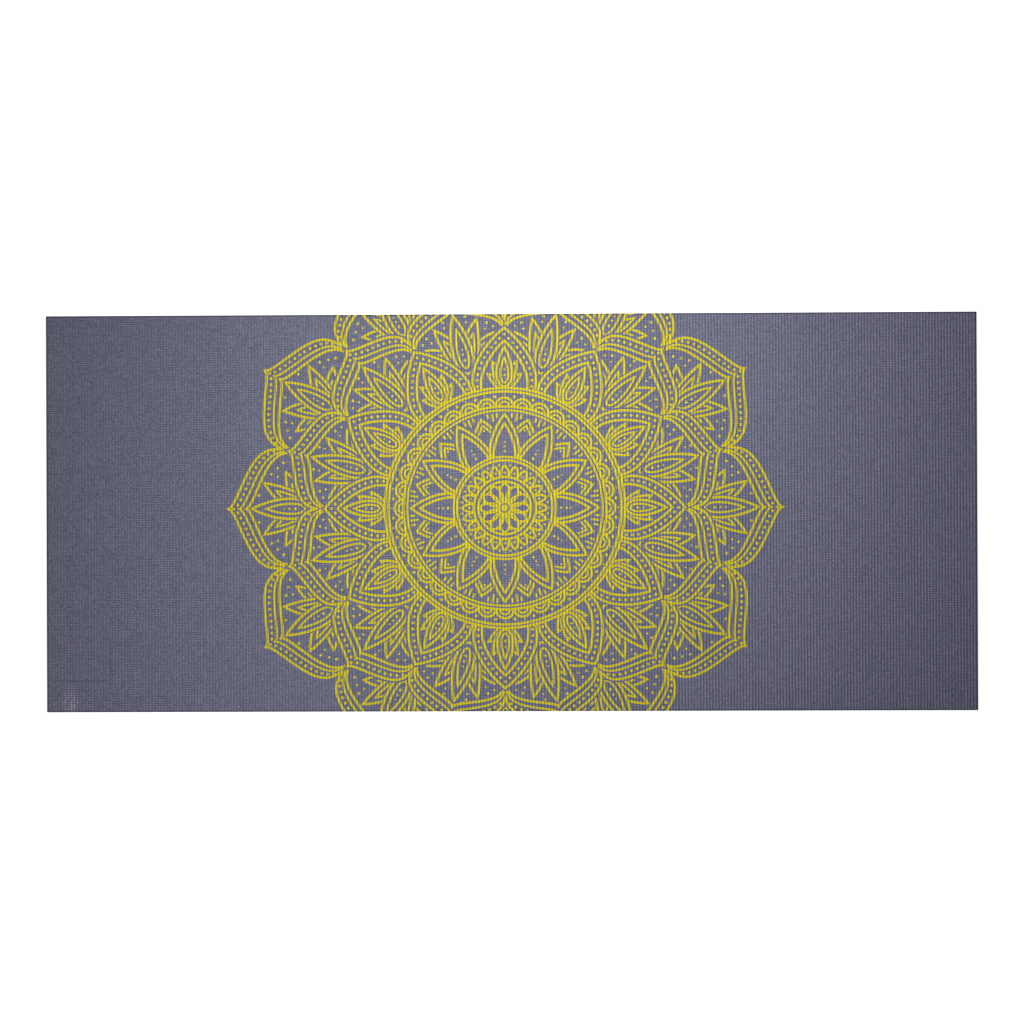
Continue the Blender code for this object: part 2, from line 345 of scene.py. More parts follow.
# %% [markdown]
# ## The finish of the foam
# Foamed PVC has a dull skin with a faint sheen. From above, each rib is a light line and each groove a
# dark one, and in places the pillows show as a finer grid. The dark of the grooves and of the dips between
# the pillows is painted shade in the colour. The pattern is worked out from the place on the mat, in metres,
# so it stays on the ribs that are modelled. At a scale of 1 a wave texture repeats every 2 pi / 20, so a
# scale of 0.314 divided by the pitch puts one dark line in each groove.

# %% Ribs and pillows
one_per_pitch = math.pi / 10
rib_wave = {"Scale": one_per_pitch / rib_pitch, "Distortion": 0.5, "Detail": 1.0, "Detail Scale": 0.8}
cell_wave = {"Scale": one_per_pitch / cell_pitch, "Distortion": 0.8, "Detail": 1.0, "Detail Scale": 1.0}

foam = new_material("foamed_pvc_ribbed_skin")
place = add_node(foam, "TexCoord").outputs["Object"]
ribs = add_node(foam, "TexWave", {"Vector": place, **rib_wave}, bands_direction="X").outputs["Fac"]
cells = add_node(foam, "TexWave", {"Vector": place, **cell_wave}, bands_direction="Y").outputs["Fac"]
print("wave scales: ribs", round(rib_wave["Scale"], 1), "and pillows", round(cell_wave["Scale"], 1))

# %% [markdown]
# ## How strongly each pattern shows
# The ribs show plainest at the lower right and fade towards the upper left, so the painted shade in the
# grooves is deepest at the lower right and faintest at the upper left. The pillows show in patches some
# 40 mm across. Each pattern swings round the same middle tone, so that a weaker one is no lighter.

# %% Strength of ribs and pillows
# Painted shade: how deep the grooves' painted shade is, rising towards the lower right.
faintest_rib_shade, middling, deepest_rib_shade = 0.0, 0.48, 0.75
more_per_metre = {"X": 0.40, "Y": -0.25}
parts = add_node(foam, "SeparateXYZ", {"Vector": place})
rib_shade_share = middling
for axis, change in more_per_metre.items():
    rib_shade_share = add_node(foam, "Math", {0: parts.outputs[axis], 1: change, 2: rib_shade_share},
                         operation="MULTIPLY_ADD")
rib_shade_share = add_node(foam, "Clamp", {"Value": rib_shade_share, "Min": faintest_rib_shade, "Max": deepest_rib_shade})
# Painted shade: the grooves are drawn darker than the crests.
rib_swing = add_node(foam, "Math", {0: 0.5, 1: ribs}, operation="SUBTRACT")
rib_swing = add_node(foam, "Math", {0: rib_swing, 1: rib_shade_share, 2: 0.5}, operation="MULTIPLY_ADD")

patches_per_metre = 26.0
patches = add_node(foam, "TexNoise", {"Vector": place, "Scale": patches_per_metre, "Detail": 3.0})
cell_share = add_node(foam, "MapRange", {"Value": patches, "From Min": 0.44, "From Max": 0.64,
                                         "To Min": 0.05, "To Max": 0.60})
# Painted shade: the dips between the pillows are drawn darker.
cell_swing = add_node(foam, "Math", {0: 0.5, 1: cells}, operation="SUBTRACT")
shade_and_tone = add_node(foam, "Math", {0: cell_swing, 1: cell_share, 2: rib_swing}, operation="MULTIPLY_ADD")
print("a patch of pillows is about", round(1000 / patches_per_metre), "mm wide")

# %% [markdown]
# ## Uneven foam
# No two pillows foam up alike. The place on the mat is snapped to the corner of its rib and row, which
# gives each pillow one chance number and its crown a tone of its own. The pores of the skin are some
# 0.3 mm wide. They are drawn 2 mm wide, as the picture shows no finer grain. A Mix node takes its two
# colours at sockets 6 and 7.

# %% Pillow tones and pores
pores_per_metre = 480.0
tone_spread = 0.42
grain_spread = 0.28
grid = add_node(foam, "VectorMath", {0: place, 1: (rib_pitch, cell_pitch, 1.0)}, operation="SNAP")
chance = add_node(foam, "TexWhiteNoise", {"Vector": grid}, noise_dimensions="2D")
crown = add_node(foam, "Math", {0: ribs, 1: cells}, operation="MULTIPLY")
tone = add_node(foam, "MapRange", {"Value": chance, "To Min": -tone_spread, "To Max": tone_spread})
shade_and_tone = add_node(foam, "Math", {0: tone, 1: crown, 2: shade_and_tone}, operation="MULTIPLY_ADD")
pores = add_node(foam, "TexNoise", {"Vector": place, "Scale": pores_per_metre, "Detail": 2.0})
grain = add_node(foam, "MapRange", {"Value": pores, "From Min": 0.3, "From Max": 0.7,
                                    "To Min": -grain_spread, "To Max": grain_spread})
shade_and_tone = add_node(foam, "Math", {0: shade_and_tone, 1: grain}, operation="ADD", use_clamp=True)
# The dark colour carries the painted shade of the grooves and pillow dips, besides the foam's own random tone
# and grain.
skin = add_node(foam, "Mix", {"Factor": shade_and_tone, 6: linear("#828398"), 7: linear("#40425E")},
                data_type="RGBA")
print("the grain is drawn", round(1000 / pores_per_metre, 1), "mm wide")

# %% [markdown]
# ## Traces of folding
# The lower left corner seems to have been folded over once, which left two faint creases and some pillows
# that tilt towards the light. The shade in the creases is painted as two dark lines, and the light on those
# pillows as a painted highlight. Each mark is a soft oval that fades from its middle to its rim. A spherical
# gradient gives one, once the place on the mat is counted from the mark's middle and in shares of its reach.

# %% Painted crease shade and painted highlight
creases = (((-0.856, -0.329), (0.080, 0.0024)), ((-0.789, -0.302), (0.0030, 0.044)))
lit_pillow_spot = ((-0.868, -0.386), (0.023, 0.062))
crease_shade_strength = 0.55
marks = []
for centre, reach in creases + (lit_pillow_spot,):
    moved = add_node(foam, "Mapping",
                     {"Vector": place, "Location": (*centre, 0.0), "Scale": (*reach, 1.0)},
                     vector_type="TEXTURE")
    mark = add_node(foam, "TexGradient", {"Vector": moved}, gradient_type="SPHERICAL")
    marks.append(mark.outputs["Fac"])
for mark in marks[:-1]:
    # Painted shade: the creases darken the skin's colour.
    crease_shade = add_node(foam, "Math", {0: mark, 1: crease_shade_strength}, operation="MULTIPLY")
    skin = add_node(foam, "Mix", {"Factor": crease_shade, 6: skin, 7: linear("#33344F")},
                    data_type="RGBA")
# Painted highlight: the pillows beside the creases that catch the light are drawn paler.
painted_highlight = add_node(foam, "Math", {0: marks[-1], 1: chance}, operation="MULTIPLY")
painted_highlight = add_node(foam, "Math", {0: painted_highlight, 1: crown}, operation="MULTIPLY")
painted_highlight = add_node(foam, "MapRange", {"Value": painted_highlight, "From Min": 0.05, "From Max": 0.26,
                                     "To Min": 0.0, "To Max": 0.85})
skin = add_node(foam, "Mix", {"Factor": painted_highlight, 6: skin, 7: linear("#B4B4C4")},
                data_type="RGBA")
print("the corner has", len(marks), "marks")

# %% [markdown]
# ## The rim and the relief
# The die presses the rim thin and down, so it slopes away from the light, and its shade is painted dark for
# some 2.5 mm from the edge. Distances to an end and to a long edge are counted as negative inside the mat,
# so the larger of the two belongs to the nearer edge.
# The bump holds what is not modelled, the pillows and the pores. The skin is matt, with the roughness and
# IOR of soft PVC.

# %% Painted rim shade, relief and surface
pale_from, dark_from = -0.0034, -0.0012
pillow_height, pore_height = 0.55, 0.30
distances = []
for axis, reach in (("X", mat_length / 2), ("Y", mat_width / 2)):
    distance = add_node(foam, "Math", {0: parts.outputs[axis]}, operation="ABSOLUTE")
    distances.append(add_node(foam, "Math", {0: distance, 1: reach}, operation="SUBTRACT"))
edge = add_node(foam, "Math", {0: distances[0], 1: distances[1]}, operation="MAXIMUM")
# Painted shade: the pressed rim is drawn darker within some 2.5 mm of the edge.
rim_shade = add_node(foam, "MapRange", {"Value": edge, "From Min": pale_from,
                                        "From Max": dark_from, "To Min": 0.0, "To Max": 0.85})
colour = add_node(foam, "Mix", {"Factor": rim_shade, 6: skin, 7: linear("#1E1E38")},
                  data_type="RGBA")
pillow = add_node(foam, "Math", {0: cells, 1: pillow_height}, operation="MULTIPLY")
relief = add_node(foam, "Math", {0: pores, 1: pore_height, 2: pillow}, operation="MULTIPLY_ADD")
bump = add_node(foam, "Bump", {"Height": relief, "Distance": 0.0004, "Strength": 0.7})
surface = add_node(foam, "BsdfPrincipled",
                   {"Base Color": colour, "Roughness": 0.68, "IOR": 1.52, "Normal": bump})
add_node(foam, "OutputMaterial", {"Surface": surface})
print("the foam's finish has", len(foam.node_tree.nodes), "nodes")

# %% [markdown]
# ## The cut edge
# A steel rule die cuts the sheet, which opens the foam's bubbles. The cut face has no skin, so it is duller
# than the ribs and full of pits about half a millimetre wide. A cell texture draws one in the middle of
# each cell. The coat gets it as a second finish, on the faces that were pulled down from its border.

# %% Cut foam
pits_per_metre = 1700.0
cut_foam = new_material("foamed_pvc_die_cut")
place = add_node(cut_foam, "TexCoord").outputs["Object"]
bubbles = add_node(cut_foam, "TexVoronoi",
                   {"Vector": place, "Scale": pits_per_metre, "Randomness": 0.9})
pit_depth_and_shade = add_node(cut_foam, "MapRange", {"Value": bubbles, "From Min": 0.15, "From Max": 0.6})
# Painted shade: each pit is drawn darker, as the shade inside an open bubble.
colour = add_node(cut_foam, "Mix", {"Factor": pit_depth_and_shade, 6: linear("#26263B"), 7: linear("#5B5B71")},
                  data_type="RGBA")
bump = add_node(cut_foam, "Bump", {"Height": pit_depth_and_shade, "Distance": 0.0002, "Strength": 0.6})
surface = add_node(cut_foam, "BsdfPrincipled",
                   {"Base Color": colour, "Roughness": 0.85, "IOR": 1.52, "Normal": bump})
add_node(cut_foam, "OutputMaterial", {"Surface": surface})

for piece, node in ((upper_coat, "foam_upper_coat"), (lower_coat, "foam_lower_coat")):
    piece.data.materials.append(foam)
    piece.data.materials.append(cut_foam)
    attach(piece, "root")
    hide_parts(node)
print("both coats are dressed; the cut edge has", len(cut_foam.node_tree.nodes), "nodes")

# %% [markdown]
# ## The net inside
# The scrim is a laid net of polyester: one yarn under every rib, and one along the mat under every row of
# pillows. It keeps the mat from stretching. Only the yarns' ends show, as a dotted line round the cut edge,
# so each yarn is a six-sided rod, flattened as the foam presses it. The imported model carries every
# twenty-fourth yarn, and here all of them are laid.

# %% Yarns
yarn_width = 0.0009
yarn_thickness = 0.0004
yarn_proud = 0.0001
yarn_shift = yarn_thickness / 3
flat_rod = Matrix.Diagonal((1.0, yarn_thickness / yarn_width, 1.0, 1.0))
along_mat = Matrix.Rotation(math.pi / 2, 4, "Y") @ Matrix.Rotation(math.pi / 2, 4, "Z") @ flat_rod
across_mat = Matrix.Rotation(math.pi / 2, 4, "X") @ flat_rod
net = bmesh.new()


def lay_yarn(spot, turn, length):
    """One yarn of this length with its middle at this spot. Its ends stand a little proud of the foam."""
    bmesh.ops.create_cone(net, cap_ends=True, segments=6, radius1=yarn_width / 2, radius2=yarn_width / 2,
                          depth=length + 2 * yarn_proud, matrix=Matrix.Translation(spot) @ turn)


yarns_across = round(mat_length / rib_pitch) - 1
yarns_along = int(mat_width / cell_pitch) - 1
for k in range(yarns_across):
    x = (k - (yarns_across - 1) / 2) * rib_pitch
    lay_yarn((x, 0.0, seam_height + yarn_shift), across_mat, mat_width)
for k in range(yarns_along):
    y = (k - (yarns_along - 1) / 2) * cell_pitch
    lay_yarn((0.0, y, seam_height - yarn_shift), along_mat, mat_length)
describe(f"the net of {yarns_across} yarns across and {yarns_along} along", net)
scrim = new_object("scrim_yarns", net)

# %% [markdown]
# ## The finish of the yarn
# Polyester yarn is a bundle of smooth bright threads, an off-white that has taken some of the paste's colour.
# Its twist shows as fine slanting lines about half a millimetre apart. They need no unwrapping, as a
# slanted wave over the place on the mat gives the same lines on both sets of yarns. The low roughness
# makes the cut ends glint a little beside the dull foam.

# %% Polyester yarn
twist_pitch = 0.0004
polyester = new_material("polyester_yarn_twisted")
place = add_node(polyester, "TexCoord").outputs["Object"]
twist = add_node(polyester, "TexWave",
                 {"Vector": place, "Scale": one_per_pitch / twist_pitch, "Distortion": 0.6,
                  "Detail": 1.0},
                 bands_direction="DIAGONAL").outputs["Fac"]
colour = add_node(polyester, "Mix", {"Factor": twist, 6: linear("#8E8A80"), 7: linear("#D6D1C2")},
                  data_type="RGBA")
bump = add_node(polyester, "Bump", {"Height": twist, "Distance": 0.00008, "Strength": 0.5})
surface = add_node(polyester, "BsdfPrincipled",
                   {"Base Color": colour, "Roughness": 0.45, "IOR": 1.57, "Normal": bump})
add_node(polyester, "OutputMaterial", {"Surface": surface})
scrim.data.materials.append(polyester)
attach(scrim, "root")
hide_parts("scrim_net")
print("the yarn's finish has", len(polyester.node_tree.nodes), "nodes")

# %% [markdown]
# ## Drawing with strokes
# The print is a mandala of drawn lines in one colour of ink: rings, petals, lotus flowers and rows of dots,
# laid out twelve times round its middle. No operator unites hundreds of crossing lines, so each line
# starts as a string of points, becomes a strip of flat triangles as wide as the pen, and all strips of
# a band are united later. Corners are widened so that a sharp tip stays as broad as the line, up to twice
# its width, or the tip would grow into a spike.

# %% A stroke
line_width = 0.0048
fine_width = 0.0040
sharpest_cosine = 0.5
closest = 1e-7


def side_points(points, closed, half_width):
    """The points on each side of a line, half a pen's width away."""
    count = len(points)
    left = []
    right = []
    for i, point in enumerate(points):
        ways = []
        if closed or i > 0:
            ways.append((point - points[i - 1]).normalized())
        if closed or i < count - 1:
            ways.append((points[(i + 1) % count] - point).normalized())
        way = sum(ways, Vector((0, 0))).normalized()
        normal = Vector((-way.y, way.x))
        cosine = max(way.dot(ways[0]), sharpest_cosine)
        left.append(point + normal * half_width / cosine)
        right.append(point - normal * half_width / cosine)
    return left, right


def stroke(points, closed=True, width=line_width):
    """A line as flat triangles that all turn the same way."""
    left, right = side_points(points, closed, width / 2)
    triangles = []
    for i in range(len(points) if closed else len(points) - 1):
        j = (i + 1) % len(points)
        for a, b, c in ((left[i], right[i], right[j]), (left[i], right[j], left[j])):
            area = (b - a).cross(c - a)
            if abs(area) > closest ** 2:
                triangles.append((a, b, c) if area > 0 else (c, b, a))
    return triangles


sample = stroke([Vector((0, 0)), Vector((0.1, 0)), Vector((0.1, 0.1))], closed=False)
print("a line with one corner is", len(sample), "triangles")

# %% [markdown]
# ## Lines round a centre
# Every motif is drawn once, pointing along the mat, and then turned to its twelve places. Some motifs sit
# on those twelve directions and some halfway between. The print's centre lies a little off the mat's,
# as the picture shows, so the print is drawn round the origin and moved at the end.

# %% Turns and rings
petal_count = 12
curve_step = 0.005
print_radius = 0.545
print_middle = Vector((-0.011, 0.009))


def circle(radius, steps=0):
    """Points on a circle, about a curve step apart or this many of them."""
    steps = steps or petal_count * max(2, round(2 * math.pi * radius / curve_step / petal_count))
    turn = 2 * math.pi / steps
    return [Vector((math.cos(k * turn), math.sin(k * turn))) * radius for k in range(steps)]


def turned(points, angle):
    """Points turned about the print's centre."""
    cosine = math.cos(angle)
    sine = math.sin(angle)
    return [Vector((p.x * cosine - p.y * sine, p.x * sine + p.y * cosine)) for p in points]


def shifted(points, x, y=0.0):
    """Points moved this far along the mat and across it."""
    return [Vector((p.x + x, p.y + y)) for p in points]


def spread(count, start=0.0):
    """Evenly spread directions, the first one this share of a step on."""
    return [2 * math.pi * (k + start) / count for k in range(count)]


def lines_of(outlines, angles, closed=True, width=line_width):
    """Strokes along these outlines in each of these directions."""
    strokes = []
    for outline in outlines:
        for angle in angles:
            strokes += stroke(turned(outline, angle), closed, width)
    return strokes


def ring(share, width=line_width):
    """A drawn circle whose radius is this share of the print's."""
    return stroke(circle(print_radius * share), True, width)


aligned = spread(petal_count)
between = spread(petal_count, 0.5)
print("the print is", print_radius * 2, "m across, wider than the mat, so both long edges cut it")

# %% [markdown]
# ## Single dots
# Dots fill the gaps that the lines leave, as a pen's point does. A dot of ten sides looks round at two or
# three millimetres. Its place is given along the motif's own direction and aside from it.

# %% Dots
dot_radius = 0.0031
dot_sides = 10


def around(shapes, angles):
    """Shapes turned to each of these directions."""
    return [turned(shape, angle) for shape in shapes for angle in angles]


def dot(spot, radius=dot_radius):
    """The outline of one dot."""
    return shifted(circle(radius, dot_sides), spot.x, spot.y)


def dots(spots, angles):
    """Single dots, each given by its share of the print's radius, its distance aside and its own radius."""
    shapes = [dot(Vector((print_radius * share, side)), radius) for share, side, radius in spots]
    return around(shapes, angles)


def dot_pairs(spots, angles):
    """The same with a mirror image of each."""
    return dots(spots, angles) + dots([(share, -side, radius) for share, side, radius in spots], angles)


print("a ring of dots holds", len(dots([(0.5, 0.0, 0.002)], aligned)), "of them")

# %% [markdown]
# ## Petals
# Beside rings and dots, three curves draw the whole print: petals, arches and scallops. A petal is round at
# its foot, broadest a third of the way up and drawn out to a point. Its formula is the product of two
# powers, which keeps the line smooth and both its halves alike.

# %% Petals
round_foot = 0.50
round_tip = 0.55
drawn_tip = 0.92
inner_tip_share = 0.84
inner_width_share = 0.74


def sized(*shares):
    """Lengths that are these shares of the print's radius."""
    return [print_radius * share for share in shares]


def petal(foot, tip, half_width, tip_power=drawn_tip):
    """A closed petal along +X. Its points crowd at round ends and lie even towards a drawn tip."""
    steps = max(7, round((tip - foot) * 1.25 / curve_step))
    broadest = round_foot / (round_foot + tip_power)
    full = broadest ** round_foot * (1 - broadest) ** tip_power
    side = []
    for k in range(steps + 1):
        share = min(1.0, 1 - math.cos(math.pi / 2 * k / steps))
        if tip_power == round_tip:
            share = (1 - math.cos(math.pi * k / steps)) / 2
        across = half_width * share ** round_foot * (1 - share) ** tip_power / full
        side.append(Vector((foot + (tip - foot) * share, -across)))
    return side + [Vector((p.x, -p.y)) for p in side[-2:0:-1]]


def inner_petal(foot, tip, half_width, step=1.0):
    """The outline that runs inside a petal, or a line only this share of the way towards it."""
    inner_tip = tip - (tip - foot) * (1 - inner_tip_share) * step
    return petal(foot, inner_tip, half_width * (1 - (1 - inner_width_share) * step))


def bent(points, bow):
    """A shape swung to one side, more and more towards its tip."""
    return [Vector((p.x - bow * p.y * p.x * 2, p.y + bow * p.x ** 2)) for p in points]


print("a petal 0.16 m long is drawn through", len(petal(0.0, 0.16, 0.06)), "points")

# %% [markdown]
# ## Arches and scallops
# An arch is broad at its foot and runs out to a point, as wide as one twelfth of a ring, so that twelve of
# them join into a chain. A scallop is a plain half oval and edges a ring like lace.

# %% Arches and scallops
arch_shoulder = 3.2
arch_point = 1.9


def arch(valley, tip):
    """One pointed arch of a chain, from valley to valley."""
    half_turn = math.pi / petal_count
    low = valley * math.cos(half_turn)
    half_width = valley * math.sin(half_turn)
    steps = max(8, round((tip - low + half_width) / curve_step / 1.3))
    side = []
    for k in range(steps + 1):
        share = k / steps
        across = half_width * (1 - share ** arch_shoulder) ** arch_point
        side.append(Vector((low + (tip - low) * share, -across)))
    return side + [Vector((p.x, -p.y)) for p in side[-2::-1]]


def chain(outline, angles):
    """Arches joined end to end into one closed line."""
    points = []
    for angle in angles:
        points += turned(outline, angle)[:-1]
    return points


def scallop(foot, top, half_width):
    """Half an oval that stands on a ring."""
    steps = max(6, round((top - foot + half_width) * 1.5 / curve_step))
    outline = []
    for k in range(steps + 1):
        angle = math.pi * (k / steps - 0.5)
        outline.append(Vector((foot + (top - foot) * math.cos(angle), half_width * math.sin(angle))))
    return outline


print("an arch is drawn through", len(arch(0.4, 0.5)), "points")

# %% [markdown]
# ## Dots along a line
# Rows of dots follow many of the curves. Spacing them by length along the line keeps them even where the
# curve's own points are not.

# %% Even places along a line
def spaced(points, gap, start=0.0):
    """Places along a line, evenly apart, from this far along it to its end."""
    lengths = [0.0]
    for a, b in zip(points, points[1:]):
        lengths.append(lengths[-1] + (b - a).length)
    room = lengths[-1] - start
    count = max(1, round(room / gap))
    found = []
    for k in range(count + 1):
        reach = start + room * k / count
        i = max(j for j in range(len(lengths) - 1) if lengths[j] <= reach + closest)
        share = (reach - lengths[i]) / max(lengths[i + 1] - lengths[i], closest)
        found.append(points[i].lerp(points[i + 1], share))
    return found


def dots_along(half_line, gap, start):
    """Dots along half of a line that ends at its tip, and their mirror images."""
    spots = spaced(half_line, gap, start)
    pairs = [spot for spot in spots[:-1] if abs(spot.y) > 1.5 * dot_radius]
    shapes = [dot(spot) for spot in pairs + spots[-1:]]
    return shapes + [dot(Vector((spot.x, -spot.y))) for spot in pairs]


print("a line 0.1 m long carries", len(spaced([Vector((0, 0)), Vector((0.1, 0))], 0.0115)), "dots")

# %% [markdown]
# ## What lies in front
# In such drawings one petal seems to lie on the next. Nothing overlaps on paper: the lines behind
# simply stop a little before the petal in front. So each layer of strokes comes with masks, which are the
# outlines in front of it, each with a broad stroke round it for the gap.

# %% Masks
clearance = 0.0035
clear = line_width / 2 + clearance
petal_clear = fine_width / 2 + clearance * 0.63


def behind(outline, gap):
    """What hides a line that is tucked behind this closed outline, with a gap left round it."""
    return [outline] + stroke(outline, True, 2 * gap)


def behind_all(outlines, angles, gap):
    """The same for these outlines in each of these directions."""
    placed = [turned(outline, angle) for outline in outlines for angle in angles]
    return [shape for outline in placed for shape in behind(outline, gap)]


print("lines stop", round(clear * 1000, 2), "mm short of the middle of a line in front")

# %% [markdown]
# ## A lotus flower
# A flower seen from the side has one upright petal in front and pairs of petals that lean out behind it,
# each pair further and lower. Its rows are listed from front to back, and each is masked by those before.

# %% Flower
heart_foot_share = 0.10
heart_width_share = 0.50


def flower(foot, rows, angles, masks):
    """The layers of a lotus flower that stands at this distance from the centre.

    A row gives its petals' length, half width, lean and bow, and how far up them an inner petal reaches.
    """
    layers = []
    front = []
    for length, half_width, lean, bow, inner in rows:
        hidden = masks + behind_all(front, angles, petal_clear)
        strokes = []
        outlines = []
        for side in (1, -1) if lean else (1,):
            leaf = bent(petal(0.0, length, half_width), side * bow)
            outlines.append(shifted(turned(leaf, side * lean), foot))
            if inner:
                heart = bent(petal(length * heart_foot_share, length * inner, half_width * heart_width_share),
                             side * bow)
                strokes += lines_of([shifted(turned(heart, side * lean), foot)], angles, True, fine_width)
        layers.append((strokes + lines_of(outlines, angles), hidden))
        front += outlines
    return layers


print("a flower of one petal is", len(flower(0.1, [(0.05, 0.01, 0.0, 0.0, 0)], aligned, [])), "layer")

# %% [markdown]
# ## Uniting the strokes
# A constrained Delaunay triangulation cuts all triangles along each other's edges and says which of them
# cover each part. A part is inked where a layer covers it with a stroke and not with a mask.

# %% From strokes to one flat shape
def covered(layers):
    """The inked parts of these layers of strokes and masks."""
    points = []
    faces = []
    owners = []
    for number, (strokes, masks) in enumerate(layers):
        for order, corners in enumerate(strokes + masks):
            faces.append(list(range(len(points), len(points) + len(corners))))
            points.extend(corners)
            owners.append((number, order >= len(strokes)))
    cut = delaunay_2d_cdt(points, [], faces, 1, closest, True)
    kept = []
    for corners, sources in zip(cut[2], cut[5]):
        found = [owners[source] for source in sources]
        hidden = {number for number, masked in found if masked}
        if any(number not in hidden for number, masked in found if not masked):
            kept.append(corners)
    return cut[0], kept


sample_ring = covered([(stroke(circle(0.05)), [])])
print("a ring 0.1 m wide is", len(sample_ring[1]), "parts")

# %% [markdown]
# ## Where the ink has to bend
# Flat ink can only follow the ribs if it has an edge wherever they bend, which is along lines a quarter
# rib apart and along the pressed rim. The triangles of the first union are too many and too small for
# that, so only their common outline is kept, with as few corners as it takes.

# %% Outline and rib lines
shortest_edge = 2e-5
straight_angle = math.radians(0.8)


def outline_of(points, faces):
    """The inked area's edges, with as few corners as it takes, and a tree that tells inside from outside."""
    shape = bmesh.new()
    corners = [shape.verts.new((p.x, p.y, 0.0)) for p in points]
    for face in faces:
        shape.faces.new([corners[i] for i in face])
    tree = BVHTree.FromBMesh(shape)
    bmesh.ops.dissolve_limit(shape, angle_limit=straight_angle, verts=shape.verts[:], edges=shape.edges[:])
    edges = [[vertex.co.to_2d() for vertex in edge.verts] for edge in shape.edges
             if edge.is_boundary and edge.calc_length() > shortest_edge]
    shape.free()
    return edges, tree


rib_lines = []
spare_lines = 4
lines_each_way = int(print_radius / column_pitch) + spare_lines
for k in range(-lines_each_way, lines_each_way + 1):
    x = (k + round(print_middle.x / column_pitch)) * column_pitch - print_middle.x
    rib_lines.append((Vector((x, -mat_width)), Vector((x, mat_width))))
for inset in edge_places[1:]:
    for side in (1, -1):
        y = side * (mat_width / 2 - inset) - print_middle.y
        rib_lines.append((Vector((-mat_length / 2, y)), Vector((mat_length / 2, y))))
print("the ink can bend along", len(rib_lines), "lines")

# %% [markdown]
# ## Cutting along the ribs
# The outline and the rib lines are triangulated together, which also fills the holes between the drawn
# lines. A ray from above on to the first shape tells which of the triangles are ink.

# %% Ink that can bend
def cut_up(points, faces):
    """The inked area in triangles that end at the lines where the foam bends."""
    edges, tree = outline_of(points, faces)
    ends = [p for edge in edges + rib_lines for p in edge]
    pairs = [(2 * k, 2 * k + 1) for k in range(len(ends) // 2)]
    cut = delaunay_2d_cdt(ends, pairs, [], 0, closest, True)
    kept = []
    for corners in cut[2]:
        middle = sum((cut[0][i] for i in corners), Vector((0, 0))) / len(corners)
        if tree.ray_cast(Vector((middle.x, middle.y, 1.0)), Vector((0, 0, -1)))[0] is not None:
            kept.append(corners)
    return cut[0], kept


print("the same ring is", len(cut_up(*sample_ring)[1]), "triangles once it can follow the ribs")

# %% [markdown]
# ## The ink's finish
# The ink is a screen-printed plastisol, a paste of PVC and pigment that is baked on. It is thin, opaque and
# a little smoother than the foam, so it has a soft shine. The foam's grooves still show through it, and
# their shade is painted in as slightly deeper yellow. The film is uneven where the squeegee pressed it into
# the pillows.

# %% Screen-printed ink
squeegee_marks_per_metre = 420.0
groove_shade_strength = 0.90
film_spread = 0.36
ink = new_material("screen_printed_plastisol")
place = add_node(ink, "TexCoord").outputs["Object"]
ribs = add_node(ink, "TexWave", {"Vector": place, **rib_wave}, bands_direction="X").outputs["Fac"]
film = add_node(ink, "TexNoise", {"Vector": place, "Scale": squeegee_marks_per_metre, "Detail": 2.0})
# Painted shade: the grooves under the film are drawn as deeper yellow.
groove_shade = add_node(ink, "Math", {0: 1.0, 1: ribs}, operation="SUBTRACT")
uneven = add_node(ink, "MapRange", {"Value": film, "From Min": 0.3, "From Max": 0.7,
                                    "To Min": -film_spread, "To Max": film_spread})
shade_and_tone = add_node(ink, "Math", {0: groove_shade, 1: groove_shade_strength, 2: uneven},
                operation="MULTIPLY_ADD", use_clamp=True)
colour = add_node(ink, "Mix", {"Factor": shade_and_tone, 6: linear("#E9DB07"), 7: linear("#A8960A")},
                  data_type="RGBA")
bump = add_node(ink, "Bump", {"Height": film, "Distance": 0.0002, "Strength": 0.4})
surface = add_node(ink, "BsdfPrincipled",
                   {"Base Color": colour, "Roughness": 0.62, "IOR": 1.50, "Specular IOR Level": 0.30,
                    "Normal": bump})
add_node(ink, "OutputMaterial", {"Surface": surface})
print("the ink's finish has", len(ink.node_tree.nodes), "nodes")

# %% [markdown]
# ## A band cut to the mat
# A band of the print is laid over its place on the mat and cut off at the long edges, as the die cuts the
# printed sheet. Islands too small to print, under 4 square millimetres, are dropped. Where two parts
# touch in one point they are parted, because a film that hangs together by a point has no inside.

# %% Flat band
smallest_scrap = 4e-6
edge_trim = 0.0002


def scraps_of(shape):
    """The faces of all islands that are smaller than a printed speck."""
    scraps = []
    seen = set()
    for start in shape.faces[:]:
        if start in seen:
            continue
        seen.add(start)
        island = [start]
        for face in island:
            for edge in face.edges:
                for other in edge.link_faces:
                    if other not in seen:
                        seen.add(other)
                        island.append(other)
        if sum(face.calc_area() for face in island) < smallest_scrap:
            scraps += island
    return scraps


def flat_band(layers):
    """One band of the print, flat, in its place over the mat."""
    points, triangles = cut_up(*covered(layers))
    shape = bmesh.new()
    corners = [shape.verts.new((p.x + print_middle.x, p.y + print_middle.y, 0.0)) for p in points]
    for triangle in triangles:
        shape.faces.new([corners[i] for i in triangle])
    for side in (1, -1):
        bmesh.ops.bisect_plane(shape, geom=shape.verts[:] + shape.edges[:] + shape.faces[:], dist=closest,
                               plane_co=(0, side * (mat_width / 2 - edge_trim), 0), plane_no=(0, side, 0),
                               clear_outer=True)
    bmesh.ops.delete(shape, geom=scraps_of(shape), context="FACES")
    loose = [vertex for vertex in shape.verts if not vertex.link_faces]
    bmesh.ops.delete(shape, geom=loose, context="VERTS")
    for vertex in shape.verts[:]:
        rims = [edge for edge in vertex.link_edges if edge.is_boundary]
        if len(rims) > 2:
            bmesh.utils.vert_separate(vertex, rims)
    return shape


